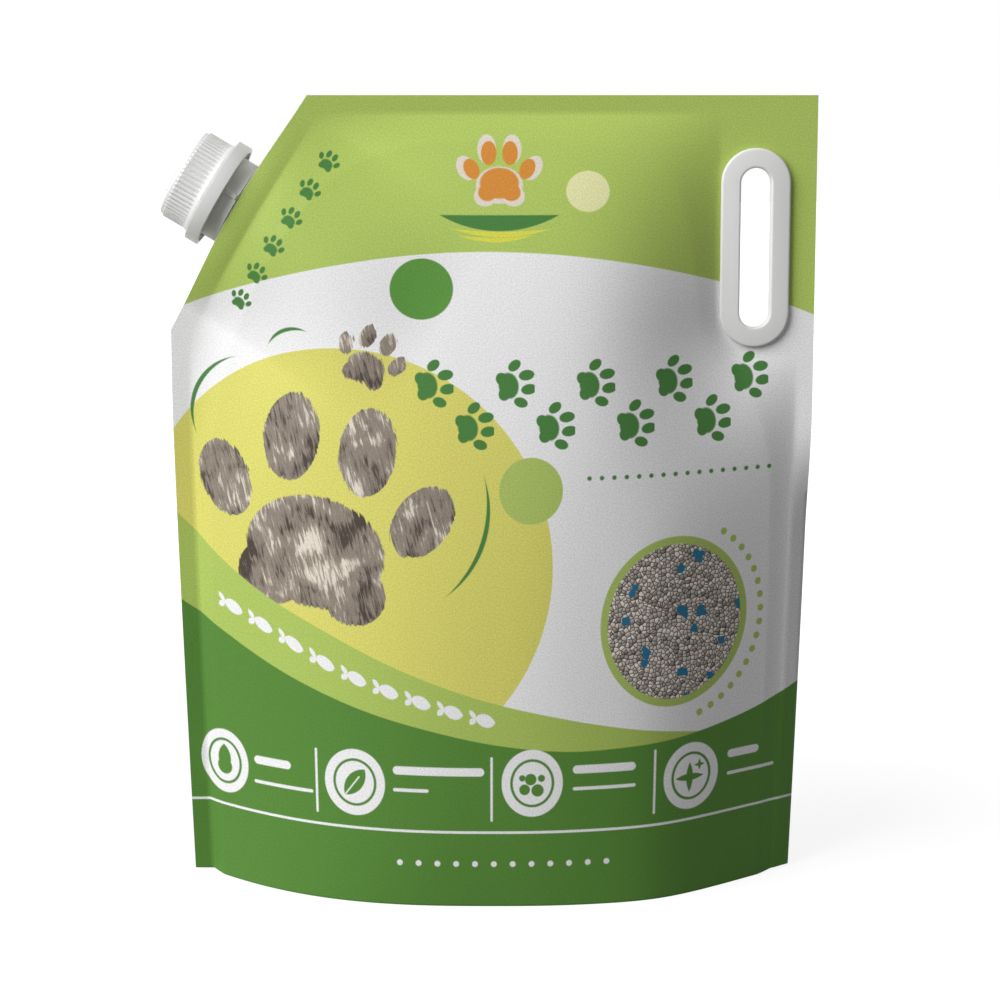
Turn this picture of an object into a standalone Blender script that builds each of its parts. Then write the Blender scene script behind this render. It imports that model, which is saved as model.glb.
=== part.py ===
# Filled stand-up litter pouch with a screw spout in one sloped corner and a moulded hand hole.
# Metres, +Z up, front towards -Y. The origin is on the floor, midway between the side seals.
import math

import bpy
from mathutils import Matrix, Vector

MM = 0.001

# Film outline, in the plane of the seals
BAG_WIDTH = 320 * MM
BAG_HEIGHT = 394 * MM
BASE_NARROWING = 7 * MM        # each side edge draws in by this much at the base
NARROWING_HEIGHT = 240 * MM    # height at which that narrowing ends
SLOPE_WIDTH = 69 * MM          # sloped corner that carries the spout
SLOPE_HEIGHT = 115 * MM
SLOPE_BOW = 2.4 * MM           # the sloped edge is cut very slightly round
SIDE_SEAL = 9.4 * MM
FREE_SEAL = 8.2 * MM           # side seal below the hand hole
TOP_SEAL = 9 * MM
SLOPE_SEAL = 9.5 * MM
SEAL_HALF = 0.3 * MM           # one film at a seal: two of them make the seal's thickness

# Filled form
BASE_DEPTH = 120 * MM          # front to back where the bag stands
FOOT_DRAW_IN = 3 * MM          # the skirt's rim stands this far behind the belly
FOOT_HEIGHT = 60 * MM
SIDE_POWER = 2.28              # a higher power keeps the front flatter and its sides steeper
BASE_POWER = 0.45              # added to it where the bag stands
BASE_FADE = 52 * MM
SPOUT_SIDE_ROUND = 1.03        # film leaves this seal sharply
FREE_SIDE_ROUND = 1.22         # and this one softly
TOP_TAPER = 290 * MM           # length over which the filled part closes towards the top seal
TOP_POWER = 2.45
SLOPE_TAPER = 85 * MM
SLOPE_POWER = 2.6
GRIP_TAPER = 87 * MM
GRIP_POWER = 3.1
GRIP_BORDER = 5.0 * MM         # flat welded film left and below the hand hole ring
TAB_LIFT = 1.5 * MM            # the welded corner tabs clear the floor by this
SKIRT_FILM = 1.2 * MM
SKIRT_HEIGHT = 4 * MM
GUSSET_REACH = 18 * MM         # from the skirt to where the gusset lies flat on the floor

# Spout: distances run along its axis from the film's sloped edge, outwards positive
SPOUT_ALONG = 63.6 * MM        # from the top end of the sloped edge to the spout's axis
NECK_R = 21.4 * MM
NECK_FILM_HALF = 17 * MM       # the neck flattens to this half depth where the film takes it
NECK_FILM_WALL = 3.4 * MM
NECK_LENGTH = 28.4 * MM
NECK_ROUND = 6 * MM            # the neck is round from here on
SHOULDER = 12.2 * MM           # where the wide neck ends and carries the tamper ring
FINISH_STEP = 1.5 * MM         # the threaded finish stands this far inside the neck
FINISH_WALL = 2.7 * MM
BEAD_RISE = 1.0 * MM           # the bead that keeps the tamper ring on
BOAT_HALF = 48 * MM            # weld boat between the films, pointed at both ends
BOAT_DEPTH = 22 * MM
BOAT_TIP = 0.5 * MM            # half thickness of its tips
WELD_RIB = 0.5 * MM
WELD_RIBS = 3
CLEARANCE = 0.3 * MM           # between pieces that touch
BOAT_FILM = 0.8 * MM           # film wall over the boat
BOAT_WRAP = 8 * MM             # the films stay parted this far past the boat's tips
BOAT_REACH = 110 * MM          # and come together this far inside the sloped edge
NECK_RIB_WIDTH = 2.2 * MM      # upright rib on the front and the back of the neck
NECK_RIB_RISE = 1.1 * MM
NECK_RIB_CLEAR = 0.5 * MM      # its ends stop short of the film and of the shoulder by this
BOAT_CUT_OUT = 6 * MM          # the pocket for the boat is cut out past the film's edge by this

# Tamper ring and cap
RING_GAP = 3.6 * MM            # open gap between the ring's skirt and the neck
RING_WALL = 1.7 * MM
RING_HEIGHT = 6.9 * MM
RING_WEB = 1.8 * MM
CAP_PLAY = 1.0 * MM            # between the cap's wall and the bead, where the thread lies
CAP_WALL = 1.6 * MM
CAP_FLARE_OUT = 1.9 * MM       # the cap's rim stands out past its ribs by this
CAP_FLARE = 2.0 * MM
CAP_CROWN = 1.5 * MM
CAP_EDGE = 1.3 * MM            # rounding of the crown
CAP_RIBS = 96
CAP_RIB_DEPTH = 0.45 * MM
LINER = 1.0 * MM
LINER_PLAY = 0.5 * MM

# Hand hole ring, in two halves that snap together through the film
GRIP_SIDE = 12.8 * MM          # from the film's side edge to the ring
GRIP_TOP = 25.6 * MM           # from the film's top edge to the ring
GRIP_HOLE = (15 * MM, 78.6 * MM)
GRIP_BAND = 9.7 * MM
GRIP_PLATE = 3.0 * MM
GRIP_ROUND = 1.3 * MM
GRIP_COLLAR = 3.0 * MM         # wall of the collar that passes through the film

# Sizes that follow from those above
THREAD_CORE_R = NECK_R - FINISH_STEP
BEAD_R = THREAD_CORE_R + BEAD_RISE
BORE_R = THREAD_CORE_R - FINISH_WALL
BORE_FILM_HALF = NECK_FILM_HALF - NECK_FILM_WALL
RING_R = NECK_R + RING_GAP + RING_WALL
CAP_R = BEAD_R + CAP_PLAY + CAP_WALL
CAP_FLARE_R = CAP_R + CAP_FLARE_OUT
GRIP_OUTER = (GRIP_HOLE[0] + 2 * GRIP_BAND, GRIP_HOLE[1] + 2 * GRIP_BAND)
GRIP_X = BAG_WIDTH / 2 - GRIP_SIDE - GRIP_OUTER[0] / 2
GRIP_Z = BAG_HEIGHT - GRIP_TOP - GRIP_OUTER[1] / 2

# Fineness of the facets
PANEL_COLUMNS = 25
FIELD_COLUMNS = 8
LOWER_ROWS = 19
UPPER_ROWS = 15
ROUND_POINTS = 48
GRIP_ARC_POINTS = 12


def material(name, colour, roughness):
    mat = bpy.data.materials.new(name)
    mat.use_nodes = True
    shader = mat.node_tree.nodes["Principled BSDF"]
    shader.inputs["Base Color"].default_value = (*colour, 1)
    shader.inputs["Roughness"].default_value = roughness
    return mat


def add_object(name, points, faces, mat, smooth_angle=30):
    mesh = bpy.data.meshes.new(name)
    mesh.from_pydata([tuple(p) for p in points], [], faces)
    mesh.validate()
    mesh.shade_smooth()
    mesh.set_sharp_from_angle(angle=math.radians(smooth_angle))
    obj = bpy.data.objects.new(name, mesh)
    bpy.context.scene.collection.objects.link(obj)
    mesh.materials.append(mat)
    return obj


def combine(obj, cutter, operation="DIFFERENCE"):
    cutter.hide_render = True
    cutter.display_type = "WIRE"
    boolean = obj.modifiers.new(cutter.name, "BOOLEAN")
    boolean.operation = operation
    boolean.solver = "EXACT"
    boolean.object = cutter


# Outline of the film and the places on its sloped edge

SLOPE_LENGTH = math.hypot(SLOPE_WIDTH, SLOPE_HEIGHT)
SLOPE_TOP = Vector((SLOPE_WIDTH - BAG_WIDTH / 2, 0, BAG_HEIGHT))
DOWN_SLOPE = Vector((-SLOPE_WIDTH, 0, -SLOPE_HEIGHT)) / SLOPE_LENGTH
SPOUT_AXIS = Vector((-SLOPE_HEIGHT, 0, SLOPE_WIDTH)) / SLOPE_LENGTH
SLOPE_FOOT_Z = BAG_HEIGHT - SLOPE_HEIGHT


def slope_bow(along):
    return SLOPE_BOW * math.sin(math.pi * min(max(along / SLOPE_LENGTH, 0), 1))


def half_width(z):
    low = min(max(1 - z / NARROWING_HEIGHT, 0), 1)
    return BAG_WIDTH / 2 - BASE_NARROWING * low ** 1.2


def left_edge(z):
    if z <= SLOPE_FOOT_Z:
        return -half_width(z)
    along = (BAG_HEIGHT - z) / SLOPE_HEIGHT * SLOPE_LENGTH
    edge = SLOPE_TOP + DOWN_SLOPE * along + SPOUT_AXIS * slope_bow(along)
    return edge.x


def left_seal_line(z):
    if z <= SLOPE_FOOT_Z:
        return left_edge(z) + SIDE_SEAL
    share = min((z - SLOPE_FOOT_Z) / (3 * SLOPE_SEAL), 1)
    wide = SLOPE_SEAL * SLOPE_LENGTH / SLOPE_HEIGHT
    return left_edge(z) + SIDE_SEAL + (wide - SIDE_SEAL) * share


SPOUT_BASE = SLOPE_TOP + DOWN_SLOPE * SPOUT_ALONG + SPOUT_AXIS * slope_bow(SPOUT_ALONG)


def spout_place():
    # Local X runs down the slope, local Y to the front, local Z out along the spout
    frame = Matrix((DOWN_SLOPE, Vector((0, -1, 0)), SPOUT_AXIS)).transposed().to_4x4()
    return Matrix.Translation(SPOUT_BASE) @ frame


# Half thickness of the filled pouch at a point of the film

def rise(distance, length, power):
    share = min(max(distance / length, 0), 1)
    return 1 - (1 - share) ** power


def eased(distance, length):
    share = min(max(distance / length, 0), 1)
    return share * share * (3 - 2 * share)


def boat_profile(along, half_length, half_depth):
    share = min(abs(along) / half_length, 1)
    return half_depth * max(math.cos(math.pi / 2 * share), 0) ** 1.2


# Left and lower edges of the flat welded field round the hand hole
FIELD_X = GRIP_X - GRIP_OUTER[0] / 2 - GRIP_BORDER
FIELD_Z = GRIP_Z - GRIP_OUTER[1] / 2 - GRIP_BORDER
FIELD_CORNER = GRIP_OUTER[0] / 2 + GRIP_BORDER


def grip_distance(x, z):
    # Distance to the flat welded field, which runs out to the bag's top and side
    to_left = FIELD_X + FIELD_CORNER - x
    to_below = FIELD_Z + FIELD_CORNER - z
    outside = math.hypot(max(to_left, 0), max(to_below, 0))
    return outside + min(max(to_left, to_below), 0) - FIELD_CORNER


def belly(x, z):
    low = -half_width(z) + SIDE_SEAL
    high = half_width(z) - FREE_SEAL
    place = (2 * x - low - high) / (high - low)
    power = SIDE_POWER + BASE_POWER * math.exp(-max(z, 0) / BASE_FADE)
    roundness = FREE_SIDE_ROUND if place > 0 else SPOUT_SIDE_ROUND
    depth = BASE_DEPTH / 2 * (1 - min(abs(place), 1) ** power) ** roundness
    depth *= rise(BAG_HEIGHT - TOP_SEAL - z, TOP_TAPER, TOP_POWER)
    inside_slope = -(Vector((x, 0, z)) - SLOPE_TOP).dot(SPOUT_AXIS)
    depth *= rise(inside_slope - SLOPE_SEAL, SLOPE_TAPER, SLOPE_POWER)
    depth *= rise(grip_distance(x, z), GRIP_TAPER, GRIP_POWER)
    foot = min(max(1 - z / FOOT_HEIGHT, 0), 1)
    depth *= 1 - FOOT_DRAW_IN / (BASE_DEPTH / 2) * foot ** 2
    # The films part round the spout's weld boat
    from_spout = Vector((x, 0, z)) - SPOUT_BASE
    along = from_spout.dot(DOWN_SLOPE)
    inwards = -from_spout.dot(SPOUT_AXIS)
    film_half = NECK_FILM_HALF + CLEARANCE + BOAT_FILM
    wrap = boat_profile(along, BOAT_HALF + BOAT_WRAP, film_half)
    return SEAL_HALF + depth + wrap * (1 - eased(inwards, BOAT_REACH))


def spread(start, end, count, crowding=0):
    # Even places from start up to, not including, end; crowding draws them towards start
    shares = [i / count for i in range(count)]
    return [start + (end - start) * ((1 - crowding) * s + crowding * s ** 2) for s in shares]


def row_heights():
    rows = spread(0, FIELD_Z, LOWER_ROWS, 0.6)
    rows.append(FIELD_Z)
    rows += spread(FIELD_Z + GRIP_BORDER, BAG_HEIGHT - TOP_SEAL, UPPER_ROWS)
    return rows + [BAG_HEIGHT - TOP_SEAL, BAG_HEIGHT]


def column_places(z):
    # Film edge, seal line, panel up to the hand hole's field, then seal line and film edge
    end = half_width(z) - FREE_SEAL
    places = [left_edge(z)]
    places += spread(left_seal_line(z), FIELD_X, PANEL_COLUMNS, 0.35)
    places.append(FIELD_X)
    places += spread(FIELD_X + GRIP_BORDER, end, FIELD_COLUMNS)
    return places + [end, half_width(z)]


def rim_height(half_depth):
    return TAB_LIFT * (1 - min(half_depth / (10 * MM), 1)) ** 2


def underside(x, half_depth):
    # Front half of the section under the bag: the skirt's rim, the fold behind it and the gusset
    rim = rim_height(half_depth)
    if half_depth < 2 * SEAL_HALF:
        # Welded corner tab: only a rounded edge
        shares = (0.8, 0.6, 0.4, 0.2, 0.1)
        return [(x, -half_depth * y, rim - half_depth * (1 - y ** 2)) for y in shares]
    size = min(half_depth / (30 * MM), 1)
    steps = (
        (SKIRT_FILM, 0),
        (SKIRT_FILM + 0.6 * MM, SKIRT_HEIGHT),
        (4.5 * MM, SKIRT_HEIGHT + 0.6 * MM),
        (0.6 * GUSSET_REACH, 0.8 * MM),
        (GUSSET_REACH, 0),
    )
    return [(x, size * y - half_depth, rim + size * z) for y, z in steps]


def build_pouch(mat):
    rows = row_heights()
    columns = len(column_places(0))
    loops = []
    for c in range(columns):
        front = []
        for z in rows:
            x = column_places(z)[c]
            half = belly(x, z)
            height = z if z > 0 else rim_height(half)
            front.append((x, -half, height))
        back = [(x, -y, z) for x, y, z in reversed(front)]
        under = underside(front[0][0], -front[0][1])
        far_side = [(x, -y, z) for x, y, z in under]
        loops.append(front + back + far_side + [(under[0][0], 0, under[-1][2])] + under[::-1])
    size = len(loops[0])
    points = [p for loop in loops for p in loop]
    faces = []
    for c in range(columns - 1):
        for i in range(size):
            j = (i + 1) % size
            faces.append((c * size + i, (c + 1) * size + i, (c + 1) * size + j, c * size + j))
    # Side edges: the front sheet's points pair with the back sheet's at the same height
    count = len(rows)
    for c, turned in ((0, True), (columns - 1, False)):
        base = c * size
        for i in range(count - 1):
            far = 2 * count - 1 - i
            quad = (base + i, base + i + 1, base + far - 1, base + far)
            faces.append(quad if turned else quad[::-1])
        end = tuple([base] + [base + i for i in range(2 * count - 1, size)])
        faces.append(end if turned else end[::-1])
    return add_object("pouch", points, faces, mat, 40)


# Lofts: rings of points joined one after the other

def loft(name, rings, mat, start_point=None, end_point=None, smooth_angle=30):
    count = len(rings[0])
    points = [p for ring in rings for p in ring]
    faces = []
    closed = start_point is None
    joints = len(rings) if closed else len(rings) - 1
    for r in range(joints):
        a = r * count
        b = (r + 1) % len(rings) * count
        for i in range(count):
            j = (i + 1) % count
            faces.append((a + i, a + j, b + j, b + i))
    if not closed:
        points += [start_point, end_point]
        first = len(points) - 2
        last = (len(rings) - 1) * count
        for i in range(count):
            j = (i + 1) % count
            faces.append((first, j, i))
            faces.append((first + 1, last + i, last + j))
    return add_object(name, points, faces, mat, smooth_angle)


def circle(radius, height, count=ROUND_POINTS):
    return oval(radius, radius, height, count)


def oval(half_x, half_y, height, count=ROUND_POINTS):
    turns = [2 * math.pi * i / count for i in range(count)]
    return [(half_x * math.cos(t), half_y * math.sin(t), height) for t in turns]


def boat_ring(half_length, half_depth, height, count=ROUND_POINTS):
    # The boat is bowed like the sloped edge of the film
    ring = []
    for x, y, _ in oval(half_length, 1, height, count):
        side = max(min(y * 8, 1), -1)
        depth = boat_profile(x, half_length, half_depth) + BOAT_TIP
        bow = slope_bow(SPOUT_ALONG + x) - slope_bow(SPOUT_ALONG)
        ring.append((x, side * depth, height + bow))
    return ring


def build_spout(mat):
    rings = []
    step = (BOAT_DEPTH - 1 * MM) / WELD_RIBS
    for i in range(WELD_RIBS):
        low = i * step - BOAT_DEPTH
        for share, groove in ((0, 0), (0.6, 0), (0.6, WELD_RIB), (0.98, WELD_RIB)):
            rings.append(boat_ring(BOAT_HALF, NECK_FILM_HALF - BOAT_TIP - groove, low + share * step))
    rings.append(boat_ring(BOAT_HALF, NECK_FILM_HALF - BOAT_TIP, -1 * MM))
    rings.append(boat_ring(BOAT_HALF, NECK_FILM_HALF - BOAT_TIP, -0.2 * MM))
    rings.append(oval(NECK_R, NECK_FILM_HALF - 0.1 * MM, -0.2 * MM))
    rings.append(oval(NECK_R, (NECK_R + NECK_FILM_HALF) / 2, NECK_ROUND / 2))
    rings.append(circle(NECK_R, NECK_ROUND))
    rings.append(circle(NECK_R, SHOULDER))
    rings.append(circle(THREAD_CORE_R, SHOULDER))
    bead = SHOULDER + CLEARANCE + RING_WEB + CLEARANCE
    rings.append(circle(THREAD_CORE_R, bead))
    rings.append(circle(BEAD_R, bead + 0.3 * MM))
    rings.append(circle(BEAD_R, bead + 0.9 * MM))
    rings.append(circle(THREAD_CORE_R, bead + 1.5 * MM))
    rings.append(circle(THREAD_CORE_R, NECK_LENGTH - 0.6 * MM))
    rings.append(circle(THREAD_CORE_R - 0.6 * MM, NECK_LENGTH))
    rings.append(circle(BORE_R, NECK_LENGTH))
    rings.append(circle(BORE_R, NECK_ROUND))
    rings.append(oval(BORE_R, BORE_FILM_HALF, 0))
    rings.append(oval(BORE_R, BORE_FILM_HALF, -BOAT_DEPTH))
    spout = loft("spout", rings, mat)
    spout.matrix_world = spout_place()
    for name, side in (("neck_rib_front", 1), ("neck_rib_back", -1)):
        combine(spout, neck_rib(name, side), "UNION")
    return spout


def neck_rib(name, side):
    # A bar that stands out of the neck's wall, from just outside the film up to the shoulder
    half = NECK_RIB_WIDTH / 2
    levels = (
        (NECK_RIB_CLEAR, NECK_FILM_HALF),
        (NECK_ROUND, NECK_R),
        (SHOULDER - NECK_RIB_CLEAR, NECK_R),
    )
    rings = []
    for height, surface in levels:
        root = side * (surface - NECK_RIB_RISE)
        tip = side * (surface + NECK_RIB_RISE)
        corners = ((half, root), (half, tip), (-half, tip), (-half, root))
        rings.append([(x, y, height) for x, y in corners])
    ends = [(0, side * levels[0][1], levels[0][0]), (0, side * levels[-1][1], levels[-1][0])]
    if side < 0:
        rings.reverse()
        ends.reverse()
    rib = loft(name, rings, None, *ends)
    rib.matrix_world = spout_place()
    return rib


def build_tamper_ring(mat):
    # An outer skirt round the neck, with a web that rests on the neck's shoulder
    web_low = SHOULDER + CLEARANCE
    top = web_low + RING_WEB
    low = top - RING_HEIGHT
    inner = THREAD_CORE_R + CLEARANCE
    skirt_r = RING_R - RING_WALL
    profile = (
        (skirt_r, low),
        (RING_R - 0.5 * MM, low),
        (RING_R, low + 0.5 * MM),
        (RING_R, top - 0.6 * MM),
        (RING_R - 0.6 * MM, top),
        (inner, top),
        (inner, web_low),
        (skirt_r - 0.8 * MM, web_low),
        (skirt_r, web_low - 0.8 * MM),
    )
    ring = loft("tamper_ring", [circle(r, z) for r, z in profile], mat)
    ring.matrix_world = spout_place()
    return ring


def ribbed_circle(radius, depth, height):
    count = 2 * CAP_RIBS
    ring = []
    for i in range(count):
        turn = 2 * math.pi * i / count
        r = radius - depth * (i % 2)
        ring.append((r * math.cos(turn), r * math.sin(turn), height))
    return ring


def cap_levels():
    base = SHOULDER + CLEARANCE + RING_WEB + CLEARANCE
    liner_low = NECK_LENGTH + CLEARANCE
    crown_low = liner_low + LINER + CLEARANCE
    return base, liner_low, crown_low, crown_low + CAP_CROWN


def build_cap(mat):
    base, _, crown_low, top = cap_levels()
    inner = CAP_R - CAP_WALL
    profile = (
        (inner, 0, crown_low),
        (inner, 0, base),
        (CAP_FLARE_R, 0, base),
        (CAP_FLARE_R - 0.5 * MM, 0, base + 0.6 * MM),
        (CAP_R, 0, base + CAP_FLARE),
        (CAP_R, CAP_RIB_DEPTH, base + CAP_FLARE + 0.5 * MM),
        (CAP_R, CAP_RIB_DEPTH, top - CAP_EDGE - 0.4 * MM),
        (CAP_R, 0, top - CAP_EDGE),
        (CAP_R - 0.4 * CAP_EDGE, 0, top - 0.35 * CAP_EDGE),
        (CAP_R - CAP_EDGE, 0, top),
    )
    rings = [ribbed_circle(r, depth, z) for r, depth, z in profile]
    cap = loft("cap", rings, mat, (0, 0, crown_low), (0, 0, top))
    cap.matrix_world = spout_place()
    return cap


def build_liner(mat):
    _, low, _, _ = cap_levels()
    radius = CAP_R - CAP_WALL - LINER_PLAY
    rings = [circle(radius, low), circle(radius, low + LINER)]
    liner = loft("cap_liner", rings, mat, (0, 0, low), (0, 0, low + LINER))
    liner.matrix_world = spout_place()
    return liner


# Hand hole

def obround(width, height, y):
    # Points run anticlockwise as the front sees them
    radius = width / 2
    straight = height / 2 - radius
    ring = []
    for centre, start in ((straight, 0), (-straight, math.pi)):
        for i in range(GRIP_ARC_POINTS + 1):
            turn = start + math.pi * i / GRIP_ARC_POINTS
            x = GRIP_X + radius * math.cos(turn)
            ring.append((x, y, GRIP_Z + centre + radius * math.sin(turn)))
    return ring


def grip_rings(profile, side):
    # Each profile entry is an inset from the ring's outer edge and a distance out of the film
    rings = []
    for inset, out in profile:
        width = GRIP_OUTER[0] - 2 * inset
        height = GRIP_OUTER[1] - 2 * inset
        rings.append(obround(width, height, side * out))
    return rings


GRIP_SEAT = SEAL_HALF + CLEARANCE
GRIP_FACE = GRIP_SEAT + GRIP_PLATE
COLLAR_INSET = GRIP_BAND - GRIP_COLLAR


def rounded_plate(band):
    # Outer face of a plate, from its film side round to its inner edge
    steps = [(0, GRIP_SEAT)]
    for i in range(4):
        turn = math.pi / 2 * i / 3
        inset = GRIP_ROUND * (1 - math.cos(turn))
        steps.append((inset, GRIP_FACE - GRIP_ROUND + GRIP_ROUND * math.sin(turn)))
    for i in range(4):
        turn = math.pi / 2 * i / 3
        inset = band - GRIP_ROUND * (1 - math.sin(turn))
        steps.append((inset, GRIP_FACE - GRIP_ROUND + GRIP_ROUND * math.cos(turn)))
    return steps


def build_grip(mat):
    # The front half carries the collar; the back half is a plain plate round the collar's end
    front = rounded_plate(GRIP_BAND)
    front += [(GRIP_BAND, -GRIP_FACE + 0.4 * MM), (GRIP_BAND - 0.4 * MM, -GRIP_FACE)]
    front += [(COLLAR_INSET, -GRIP_FACE), (COLLAR_INSET, GRIP_SEAT)]
    loft("handle_front", grip_rings(front, -1), mat)
    back = rounded_plate(COLLAR_INSET - CLEARANCE)
    back += [(COLLAR_INSET - CLEARANCE, GRIP_SEAT)]
    loft("handle_back", grip_rings(back, 1)[::-1], mat)


def grip_cutter():
    inset = COLLAR_INSET - CLEARANCE
    reach = 3 * GRIP_FACE
    rings = grip_rings([(inset, reach), (inset, -reach)], 1)
    return loft("grip_cutter", rings, None, (GRIP_X, reach, GRIP_Z), (GRIP_X, -reach, GRIP_Z))


def boat_cutter():
    low = -BOAT_DEPTH - CLEARANCE
    depth = NECK_FILM_HALF - BOAT_TIP + CLEARANCE
    rings = [boat_ring(BOAT_HALF + 2 * CLEARANCE, depth, height) for height in (low, BOAT_CUT_OUT)]
    cutter = loft("boat_cutter", rings, None, (0, 0, low), (0, 0, BOAT_CUT_OUT))
    cutter.matrix_world = spout_place()
    return cutter


def main():
    for obj in list(bpy.data.objects):
        bpy.data.objects.remove(obj, do_unlink=True)
    film = material("printed_film", (0.42, 0.58, 0.13), 0.55)
    white = material("white_polyethylene", (0.8, 0.8, 0.79), 0.45)
    foam = material("liner_foam", (0.85, 0.85, 0.84), 0.7)
    pouch = build_pouch(film)
    combine(pouch, boat_cutter())
    combine(pouch, grip_cutter())
    build_spout(white)
    build_tamper_ring(white)
    build_cap(white)
    build_liner(foam)
    build_grip(white)


main()
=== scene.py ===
import math

import bmesh
import bpy
import numpy as np
from mathutils import Matrix, Vector


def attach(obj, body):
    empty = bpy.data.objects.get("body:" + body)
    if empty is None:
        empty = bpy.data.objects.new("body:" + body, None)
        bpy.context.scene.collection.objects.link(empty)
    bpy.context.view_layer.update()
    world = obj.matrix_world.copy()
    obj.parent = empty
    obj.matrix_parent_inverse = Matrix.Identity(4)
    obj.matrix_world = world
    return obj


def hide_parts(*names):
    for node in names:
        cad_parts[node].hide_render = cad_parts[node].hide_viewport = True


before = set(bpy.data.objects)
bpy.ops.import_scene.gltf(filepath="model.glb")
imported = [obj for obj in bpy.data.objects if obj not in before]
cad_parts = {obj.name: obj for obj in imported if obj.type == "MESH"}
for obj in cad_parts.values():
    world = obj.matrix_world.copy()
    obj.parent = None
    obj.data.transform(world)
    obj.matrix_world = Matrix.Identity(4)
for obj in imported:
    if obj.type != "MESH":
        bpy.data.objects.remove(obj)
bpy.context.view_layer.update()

mm = 0.001
print("frame loaded:", sorted(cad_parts))

# the camera stands in front of the bag, nearly as high as its top, and looks a little down
cameraSet = {"x": 3.8, "distance": 1200, "height": 383, "tiltDown": 9.0, "lens": 86.87, "sensor": 36}
cameraData = bpy.data.cameras.new("camera")
cameraData.lens = cameraSet["lens"]
cameraData.sensor_width = cameraSet["sensor"]
camera = bpy.data.objects.new("camera", cameraData)
camera.location = Vector((cameraSet["x"], -cameraSet["distance"], cameraSet["height"])) * mm
camera.rotation_euler = (math.radians(90 - cameraSet["tiltDown"]), 0, 0)
bpy.context.scene.collection.objects.link(camera)
bpy.context.scene.camera = camera
print("camera placed")


def hexToLinear(code):
    shares = [int(code[i:i + 2], 16) / 255 for i in (1, 3, 5)]
    return (*[s / 12.92 if s <= 0.04045 else ((s + 0.055) / 1.055) ** 2.4 for s in shares], 1)


def addNode(kind, inputs=(), operation=None, tree=None, **settings):
    # inputs by name, or in the node's own order: an output is linked, any other value is set
    inputs = inputs if isinstance(inputs, dict) else dict(enumerate(inputs))
    linked = {name: value for name, value in inputs.items() if isinstance(value, bpy.types.NodeSocket)}
    # the new node joins the tree of the outputs that it is linked to
    tree = tree or next(iter(linked.values())).id_data
    node = tree.nodes.new("ShaderNode" + kind)
    if operation:
        node.operation = operation
    for name, value in settings.items():
        setattr(node, name, value)
    for name, value in inputs.items():
        if name in linked:
            tree.links.new(value, node.inputs[name])
        else:
            node.inputs[name].default_value = value
    return next(output for output in node.outputs if output.enabled)


def newMaterial(name, settings):
    mat = bpy.data.materials.new(name)
    mat.use_nodes = True
    shader = mat.node_tree.nodes["Principled BSDF"]
    for key, value in settings.items():
        shader.inputs[key].default_value = value
    return mat, mat.node_tree, shader


def addMesh(name, points, faces, mat, sharpAngle=30):
    mesh = bpy.data.meshes.new(name)
    mesh.from_pydata(np.asarray(points, float).tolist(), [], faces)
    mesh.validate()
    mesh.shade_smooth()
    if sharpAngle:
        mesh.set_sharp_from_angle(angle=math.radians(sharpAngle))
    mesh.materials.append(mat)
    obj = bpy.data.objects.new(name, mesh)
    bpy.context.scene.collection.objects.link(obj)
    return obj


def reshape(obj, change):
    shape = bmesh.new()
    shape.from_mesh(obj.data)
    change(shape)
    shape.to_mesh(obj.data)
    shape.free()


def settle(obj, body, node):
    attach(obj, body)
    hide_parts(node)


# filled pouch, lengths in millimetres: x across, z up, front towards -y
pouch = {
    "width": 320, "height": 394, "depth": 120,
    "baseNarrowing": 7, "narrowingHeight": 240, "narrowingPower": 1.2,
    "slopeWidth": 69, "slopeHeight": 115, "slopeBow": 2.4,
    "sideSeal": 9.4, "freeSeal": 8.2, "topSeal": 9, "slopeSeal": 9.5, "sealHalf": 0.3, "sealBlend": 28.5,
    # how the belly rises from each edge and draws in at its foot
    "topTaper": 290, "topPower": 2.45, "slopeTaper": 85, "slopePower": 2.6,
    "gripTaper": 87, "gripPower": 3.1, "gripBorder": 0.6, "gripBelow": 0.85,
    "sidePower": 2.28, "basePower": 0.45, "baseFade": 52, "sideRound": (1.03, 1.22),
    "footDrawIn": 3, "footHeight": 60,
    # crease and spring beside the sloped seal, lean of the free seal, soft fold in the panel
    "creaseDepth": 0.5, "creaseWidth": 4, "springDepth": 1.6, "springReach": 9, "springFade": 6.4,
    "leanSlope": 0.85, "leanSpan": (175, 232),
    "foldPlace": 83, "foldWidth": 18, "foldRise": 2.3, "foldSpan": (150, 225),
    # skirt and gusset at the foot
    "tabLift": 1.5, "tabHalf": 10, "skirtFilm": 0.8, "skirtHeight": 4, "skirtFade": 30, "gussetReach": 18,
    "rimSteps": 5,
}
# spout moulding; the lift is how the film stands off the weld boat a little way in
spout = {
    "along": 63.6, "neckR": 21.4, "filmHalf": 20.6, "neckLength": 28.4, "neckRound": 6, "shoulder": 12.2,
    "finishStep": 1.5, "finishWall": 2.7, "filmWall": 3.4, "beadRise": 1.0, "footChamfer": 0.15,
    "boatHalf": 48, "boatDepth": 22, "boatTip": 0.5, "boatPower": 1.2, "boatInset": 0.5, "boatRibs": 3,
    "boatGroove": 0.5, "boatFilm": 0.8, "boatWrap": 8, "boatReach": 116,
    "lift": 0.1, "liftReach": 14.25, "liftPower": 1.5, "liftStart": 0.4, "gap": 0.3,
}
grip = {
    "side": 12.8, "top": 25.6, "hole": (15, 78.6), "band": 9.7, "plate": 3.0, "round": 1.3, "collar": 3.0,
    "crowned": 0.45,
}

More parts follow.
